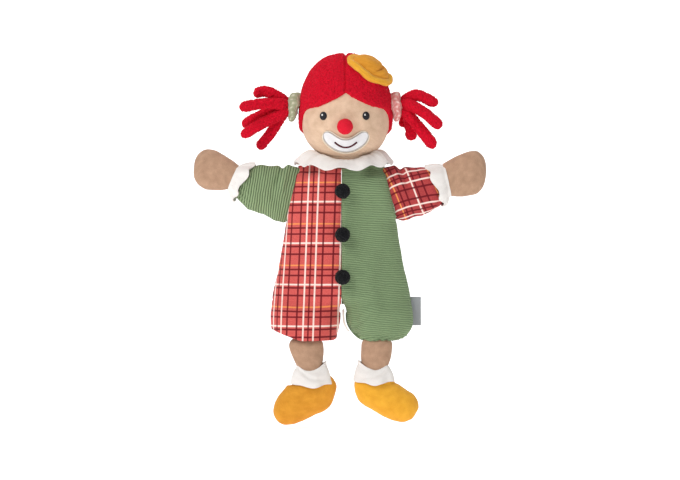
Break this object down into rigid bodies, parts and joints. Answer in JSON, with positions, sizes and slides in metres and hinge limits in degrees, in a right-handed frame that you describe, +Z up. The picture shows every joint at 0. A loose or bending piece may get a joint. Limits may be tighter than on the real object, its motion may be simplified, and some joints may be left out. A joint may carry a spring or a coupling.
{
  "type": "hand puppet",
  "caption": "Clown hand puppet with a stuffed head, pigtails, mitten hands, a two-colour romper glove body and hanging stuffed legs.",
  "frame": {"origin": "centre of the hand opening, at the lower edge of the glove body", "axes": "+Z up from the hand opening to the head, -Y the way the puppet faces, +X to the puppet's left"},
  "size_m": [0.282, 0.0929, 0.3566],
  "materials": {
    "plaid_cotton": "red plaid woven cotton",
    "green_rib": "sage green fine rib velour",
    "lining_cotton": "off-white cotton lining",
    "white_jersey": "white cotton jersey, gathered",
    "skin_velour": "short-pile velour",
    "red_terry": "looped terry",
    "nose_jersey": "stretched jersey",
    "mustard_velour": "short-pile velour",
    "pompom_wool": "black wool pompom",
    "embroidery_black": "satin stitch",
    "embroidery_burgundy": "satin stitch",
    "mouth_felt": "white felt with a stitched edge",
    "sage_print": "printed cotton",
    "pink_print": "printed cotton",
    "label_satin": "woven satin",
    "fibre_filling": "polyester filling",
    "cotton_tape": "woven cotton tape",
    "finger_tube_jersey": "jersey over a card tube"
  },
  "bodies": {
    "root": {"right_front_panel": "plaid_cotton", "left_front_panel": "green_rib", "right_back_panel": "plaid_cotton", "left_back_panel": "green_rib", "right_trouser_back": "plaid_cotton", "left_trouser_back": "green_rib", "front_lining": "lining_cotton", "back_lining": "lining_cotton", "collar_frill": "white_jersey", "pompom_top": "pompom_wool", "pompom_middle": "pompom_wool", "pompom_bottom": "pompom_wool", "side_label": "label_satin"},
    "neck": {"neck_tube": "finger_tube_jersey"},
    "head": {"head_stuffing": "fibre_filling", "face_panel": "skin_velour", "right_hair_cap": "red_terry", "left_hair_cap": "red_terry", "right_eye": "embroidery_black", "left_eye": "embroidery_black", "nose": "nose_jersey", "mouth_patch": "mouth_felt", "smile_line": "embroidery_burgundy", "hat_brim": "mustard_velour", "hat_crown": "mustard_velour", "right_scrunchie": "sage_print", "left_scrunchie": "pink_print"},
    "right_pigtail": {"right_strand_1": "red_terry", "right_strand_2": "red_terry", "right_strand_3": "red_terry", "right_strand_4": "red_terry", "right_strand_5": "red_terry"},
    "right_armhole": {"right_armhole_tape": "cotton_tape"},
    "right_arm": {"right_sleeve": "green_rib"},
    "right_hand": {"right_cuff_frill": "white_jersey", "right_mitt": "skin_velour"},
    "right_leg": {"right_leg_skin": "skin_velour", "right_leg_stuffing": "fibre_filling", "right_ankle_frill": "white_jersey"},
    "right_foot": {"right_shoe": "mustard_velour", "right_shoe_stuffing": "fibre_filling"},
    "left_pigtail": {"left_strand_1": "red_terry", "left_strand_2": "red_terry", "left_strand_3": "red_terry", "left_strand_4": "red_terry", "left_strand_5": "red_terry"},
    "left_armhole": {"left_armhole_tape": "cotton_tape"},
    "left_arm": {"left_sleeve": "plaid_cotton"},
    "left_hand": {"left_cuff_frill": "white_jersey", "left_mitt": "skin_velour"},
    "left_leg": {"left_leg_skin": "skin_velour", "left_leg_stuffing": "fibre_filling", "left_ankle_frill": "white_jersey"},
    "left_foot": {"left_shoe": "mustard_velour", "left_shoe_stuffing": "fibre_filling"}
  },
  "joints": [
    {"name": "head_nod", "type": "hinge", "parent": "root", "child": "neck", "pos_m": [0.003, 0, 0.136], "axis": [1, 0, 0], "range_deg": [-20, 22], "deforming": ["collar_frill"]},
    {"name": "head_turn", "type": "hinge", "parent": "neck", "child": "head", "pos_m": [0.003, 0, 0.136], "axis": [0, 0, 1], "range_deg": [-40, 40]},
    {"name": "right_arm_swing", "type": "hinge", "parent": "root", "child": "right_armhole", "pos_m": [-0.0478, 0, 0.1066], "axis": [0, 0, 1], "range_deg": [-15, 50], "deforming": ["right_sleeve"]},
    {"name": "right_arm_lower", "type": "hinge", "parent": "right_armhole", "child": "right_arm", "pos_m": [-0.0478, 0, 0.1066], "axis": [0, -1, 0], "range_deg": [-16, 45]},
    {"name": "right_hand_fold", "type": "hinge", "parent": "right_arm", "child": "right_hand", "pos_m": [-0.1005, 0, 0.1195], "axis": [0, 0, 1], "range_deg": [-10, 45]},
    {"name": "right_leg_swing", "type": "hinge", "parent": "root", "child": "right_leg", "pos_m": [-0.0336, -0.016, -0.039], "axis": [-1, 0, 0], "range_deg": [-20, 60], "deforming": ["right_ankle_frill"]},
    {"name": "right_ankle_flop", "type": "hinge", "parent": "right_leg", "child": "right_foot", "pos_m": [-0.0299, -0.016, -0.064], "axis": [-1, 0, 0], "range_deg": [-18, 18]},
    {"name": "right_pigtail_swing", "type": "hinge", "parent": "head", "child": "right_pigtail", "pos_m": [-0.0518, 0, 0.19], "axis": [0, 1, 0], "range_deg": [-18, 18]},
    {"name": "left_arm_swing", "type": "hinge", "parent": "root", "child": "left_armhole", "pos_m": [0.0485, 0, 0.1056], "axis": [0, 0, -1], "range_deg": [-15, 50], "deforming": ["left_sleeve"]},
    {"name": "left_arm_lower", "type": "hinge", "parent": "left_armhole", "child": "left_arm", "pos_m": [0.0485, 0, 0.1056], "axis": [0, 1, 0], "range_deg": [-16, 45]},
    {"name": "left_hand_fold", "type": "hinge", "parent": "left_arm", "child": "left_hand", "pos_m": [0.0985, 0, 0.1185], "axis": [0, 0, -1], "range_deg": [-10, 45]},
    {"name": "left_leg_swing", "type": "hinge", "parent": "root", "child": "left_leg", "pos_m": [0.0337, -0.016, -0.039], "axis": [-1, 0, 0], "range_deg": [-20, 60], "deforming": ["left_ankle_frill"]},
    {"name": "left_ankle_flop", "type": "hinge", "parent": "left_leg", "child": "left_foot", "pos_m": [0.0317, -0.016, -0.0635], "axis": [-1, 0, 0], "range_deg": [-18, 18]},
    {"name": "left_pigtail_swing", "type": "hinge", "parent": "head", "child": "left_pigtail", "pos_m": [0.058, 0, 0.19], "axis": [0, -1, 0], "range_deg": [-18, 18]}
  ]
}
